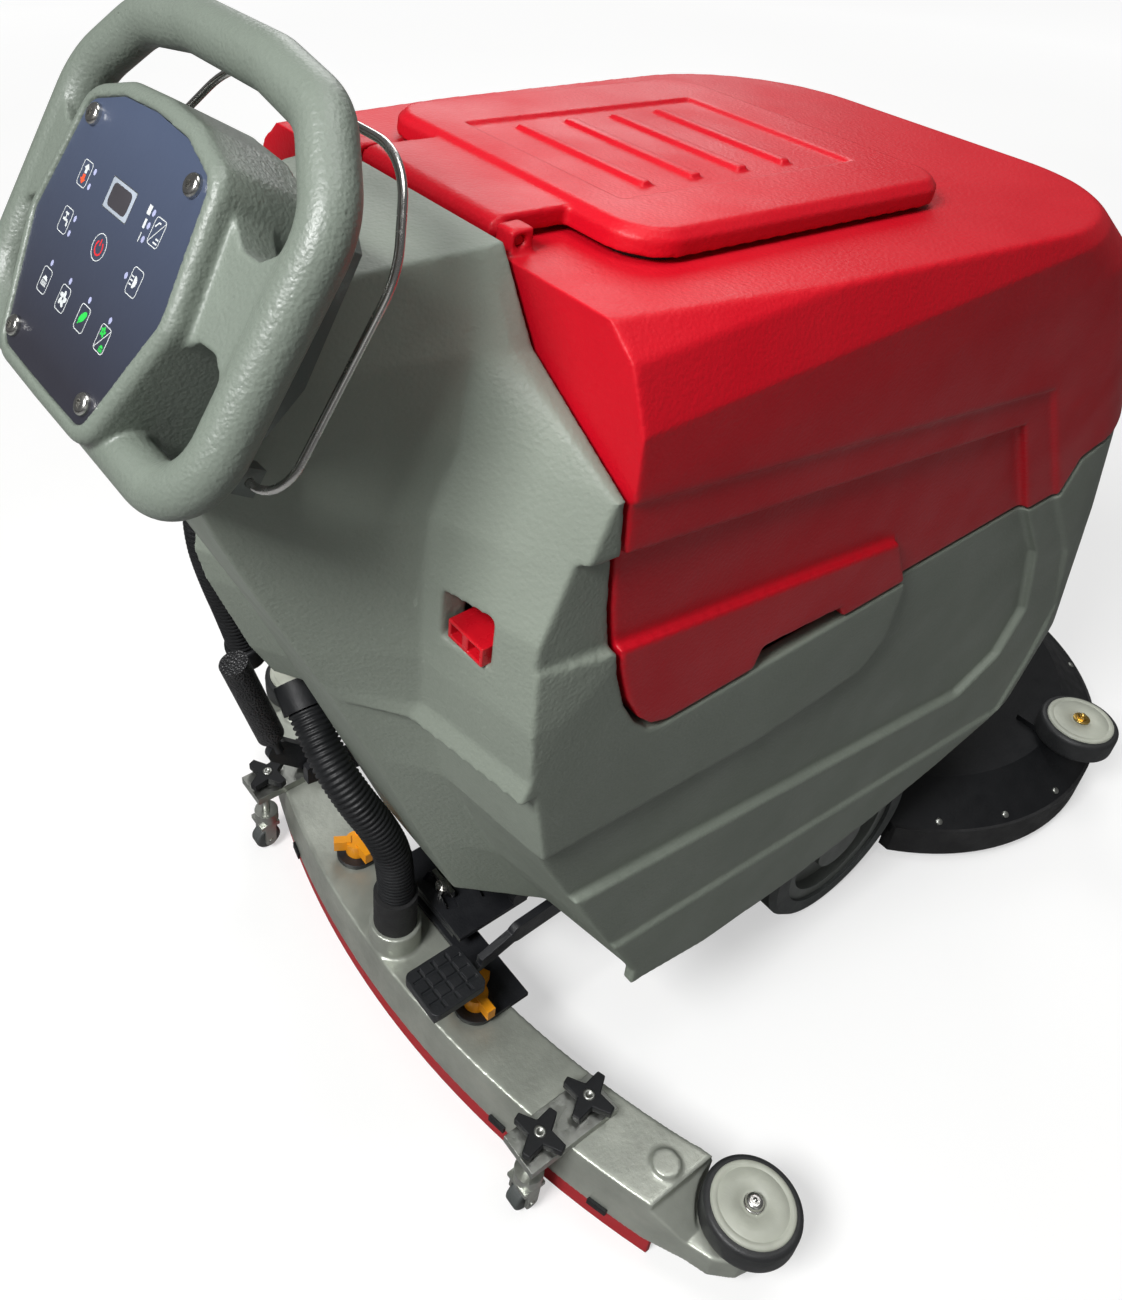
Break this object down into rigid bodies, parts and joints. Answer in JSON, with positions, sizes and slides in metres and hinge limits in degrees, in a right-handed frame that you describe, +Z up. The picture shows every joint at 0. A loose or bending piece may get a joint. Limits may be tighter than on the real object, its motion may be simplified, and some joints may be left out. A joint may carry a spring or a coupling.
{
  "type": "walk-behind floor scrubber",
  "caption": "Walk-behind floor scrubber with tilting recovery tank over a battery and solution body, ring handle, round brush deck and curved suction squeegee",
  "frame": {"origin": "on the floor, midway along the machine's length and width", "axes": "+X forward, away from the operator; +Y to the operator's left; +Z up"},
  "size_m": [1.3226, 0.868, 1.0279],
  "materials": {
    "grey_plastic": "grained",
    "dark_grey_plastic": "grained",
    "red_plastic": "grained",
    "red_gloss": "smooth",
    "black_plastic": "moulded",
    "black_steel": "powder coat",
    "black_rubber": "matt",
    "red_rubber": "matt",
    "panel_film": "film",
    "clear_window": "clear",
    "board_green": "board",
    "stainless": "polished",
    "zinc": "zinc plated",
    "silver_cast": "painted casting",
    "orange_plastic": "moulded",
    "pale_grey_plastic": "moulded",
    "grey_tyre": "matt",
    "bristle": "filament"
  },
  "bodies": {
    "chassis": {"chassis_frame": "black_steel", "solution_tank": "grey_plastic", "tank_hinges": "black_steel", "handle_shell": "grey_plastic", "handle_cover": "dark_grey_plastic", "control_panel": "panel_film", "panel_screws": "stainless", "display_window": "clear_window", "control_board": "board_green", "charge_connector": "red_gloss", "transaxle": "zinc", "body_inlet": "black_plastic", "vacuum_motor": "black_plastic", "controller_box": "black_plastic", "batteries": "black_plastic", "drain_hose": "black_rubber", "vacuum_hose": "black_rubber"},
    "tank": {"recovery_tank": "red_plastic", "float_cage": "black_plastic"},
    "lid": {"recovery_lid": "red_plastic", "lid_gasket": "black_rubber"},
    "bail": {"bail_lever": "stainless"},
    "deck": {"brush_deck": "black_plastic", "deck_skirt": "black_rubber", "brush_motor": "zinc"},
    "brush": {"brush_disc": "bristle", "brush_bristles": "bristle"},
    "deck_bumper": {"deck_roller": "pale_grey_plastic"},
    "pedal": {"foot_pedal": "black_steel"},
    "arm": {"squeegee_arm": "black_steel"},
    "squeegee": {"squeegee_bracket": "black_steel", "squeegee_body": "silver_cast", "rear_blade": "red_rubber", "front_blade": "black_rubber", "blade_strap": "black_plastic", "squeegee_bolts": "stainless", "caster_brackets": "zinc", "hose_cuff": "black_rubber"},
    "lever": {"lift_lever": "black_steel", "lever_grip": "black_rubber"},
    "wheel_left": {"drive_hub_left": "pale_grey_plastic", "drive_tyre_left": "grey_tyre"},
    "caster_swivel_left": {"caster_fork_left": "zinc"},
    "caster_roll_left": {"caster_wheel_left": "grey_tyre"},
    "bumper_left": {"end_roller_left": "pale_grey_plastic"},
    "support_swivel_left": {"support_fork_left": "zinc"},
    "support_roll_left": {"support_wheel_left": "grey_tyre"},
    "wing_left": {"wing_knob_left": "orange_plastic"},
    "star_front_left": {"star_knob_front_left": "black_plastic"},
    "star_rear_left": {"star_knob_rear_left": "black_plastic"},
    "wheel_right": {"drive_hub_right": "pale_grey_plastic", "drive_tyre_right": "grey_tyre"},
    "caster_swivel_right": {"caster_fork_right": "zinc"},
    "caster_roll_right": {"caster_wheel_right": "grey_tyre"},
    "bumper_right": {"end_roller_right": "pale_grey_plastic"},
    "support_swivel_right": {"support_fork_right": "zinc"},
    "support_roll_right": {"support_wheel_right": "grey_tyre"},
    "wing_right": {"wing_knob_right": "orange_plastic"},
    "star_front_right": {"star_knob_front_right": "black_plastic"},
    "star_rear_right": {"star_knob_rear_right": "black_plastic"}
  },
  "joints": [
    {"name": "tank_tilt", "type": "hinge", "parent": "chassis", "child": "tank", "pos_m": [-0.12, 0.231, 0.575], "axis": [-1, 0, 0], "range_deg": [0, 65]},
    {"name": "lid_hinge", "type": "hinge", "parent": "tank", "child": "lid", "pos_m": [-0.3909, 0, 0.90362], "axis": [0, -1, 0], "range_deg": [0, 75]},
    {"name": "bail_pull", "type": "hinge", "parent": "chassis", "child": "bail", "pos_m": [-0.58182, 0, 0.81203], "axis": [0, -1, 0], "range_deg": [0, 9], "stiffness_Nm_per_rad": 2},
    {"name": "deck_lift", "type": "hinge", "parent": "chassis", "child": "deck", "pos_m": [0.137, 0, 0.186], "axis": [0, -1, 0], "range_deg": [0, 6]},
    {"name": "pedal_press", "type": "hinge", "parent": "chassis", "child": "pedal", "pos_m": [-0.268, -0.105, 0.186], "axis": [0, -1, 0], "range_deg": [0, 6.5]},
    {"name": "brush_spin", "type": "hinge", "parent": "deck", "child": "brush", "pos_m": [0.38, 0, 0.052], "axis": [0, 0, 1], "continuous": true},
    {"name": "deck_bumper_spin", "type": "hinge", "parent": "deck", "child": "deck_bumper", "pos_m": [0.435, -0.245, 0.116], "axis": [0, 0, 1], "continuous": true},
    {"name": "squeegee_lift", "type": "hinge", "parent": "chassis", "child": "arm", "pos_m": [-0.268, 0, 0.186], "axis": [0, 1, 0], "range_deg": [0, 6], "deforming": ["vacuum_hose"]},
    {"name": "squeegee_swing", "type": "hinge", "parent": "arm", "child": "squeegee", "pos_m": [-0.412, 0, 0.122], "axis": [0, 0, 1], "range_deg": [-12, 12]},
    {"name": "lift_lever_turn", "type": "hinge", "parent": "chassis", "child": "lever", "pos_m": [-0.42, 0.136, 0.25], "axis": [0, -1, 0], "range_deg": [0, 35]},
    {"name": "wheel_spin_left", "type": "hinge", "parent": "chassis", "child": "wheel_left", "pos_m": [0.061, 0.161, 0.108], "axis": [0, 1, 0], "continuous": true},
    {"name": "caster_swivel_turn_left", "type": "hinge", "parent": "chassis", "child": "caster_swivel_left", "pos_m": [-0.118, 0.084, 0.15], "axis": [0, 0, 1], "continuous": true},
    {"name": "caster_spin_left", "type": "hinge", "parent": "caster_swivel_left", "child": "caster_roll_left", "pos_m": [-0.146, 0.084, 0.05], "axis": [0, 1, 0], "continuous": true},
    {"name": "bumper_spin_left", "type": "hinge", "parent": "squeegee", "child": "bumper_left", "pos_m": [-0.299, 0.39, 0.081], "axis": [0, 0, 1], "continuous": true},
    {"name": "support_swivel_turn_left", "type": "hinge", "parent": "squeegee", "child": "support_swivel_left", "pos_m": [-0.43, 0.246, 0.06], "axis": [0, 0, 1], "continuous": true},
    {"name": "support_spin_left", "type": "hinge", "parent": "support_swivel_left", "child": "support_roll_left", "pos_m": [-0.433, 0.246, 0.016], "axis": [0, 1, 0], "continuous": true},
    {"name": "wing_turn_left", "type": "hinge", "parent": "squeegee", "child": "wing_left", "pos_m": [-0.39, 0.108, 0.116], "axis": [0, 0, 1], "continuous": true},
    {"name": "star_turn_front_left", "type": "hinge", "parent": "squeegee", "child": "star_front_left", "pos_m": [-0.366, 0.246, 0.116], "axis": [0, 0, 1], "continuous": true},
    {"name": "star_turn_rear_left", "type": "hinge", "parent": "squeegee", "child": "star_rear_left", "pos_m": [-0.424, 0.246, 0.116], "axis": [0, 0, 1], "continuous": true},
    {"name": "wheel_spin_right", "type": "hinge", "parent": "chassis", "child": "wheel_right", "pos_m": [0.061, -0.161, 0.108], "axis": [0, 1, 0], "continuous": true},
    {"name": "caster_swivel_turn_right", "type": "hinge", "parent": "chassis", "child": "caster_swivel_right", "pos_m": [-0.118, -0.084, 0.15], "axis": [0, 0, 1], "continuous": true},
    {"name": "caster_spin_right", "type": "hinge", "parent": "caster_swivel_right", "child": "caster_roll_right", "pos_m": [-0.146, -0.084, 0.05], "axis": [0, 1, 0], "continuous": true},
    {"name": "bumper_spin_right", "type": "hinge", "parent": "squeegee", "child": "bumper_right", "pos_m": [-0.299, -0.39, 0.081], "axis": [0, 0, 1], "continuous": true},
    {"name": "support_swivel_turn_right", "type": "hinge", "parent": "squeegee", "child": "support_swivel_right", "pos_m": [-0.43, -0.246, 0.06], "axis": [0, 0, 1], "continuous": true},
    {"name": "support_spin_right", "type": "hinge", "parent": "support_swivel_right", "child": "support_roll_right", "pos_m": [-0.433, -0.246, 0.016], "axis": [0, 1, 0], "continuous": true},
    {"name": "wing_turn_right", "type": "hinge", "parent": "squeegee", "child": "wing_right", "pos_m": [-0.39, -0.108, 0.116], "axis": [0, 0, 1], "continuous": true},
    {"name": "star_turn_front_right", "type": "hinge", "parent": "squeegee", "child": "star_front_right", "pos_m": [-0.366, -0.246, 0.116], "axis": [0, 0, 1], "continuous": true},
    {"name": "star_turn_rear_right", "type": "hinge", "parent": "squeegee", "child": "star_rear_right", "pos_m": [-0.424, -0.246, 0.116], "axis": [0, 0, 1], "continuous": true}
  ],
  "couplings": [
    {"joint": "pedal_press", "follows": "deck_lift", "ratio": 1.08},
    {"joint": "lift_lever_turn", "follows": "squeegee_lift", "ratio": 5.8333}
  ]
}
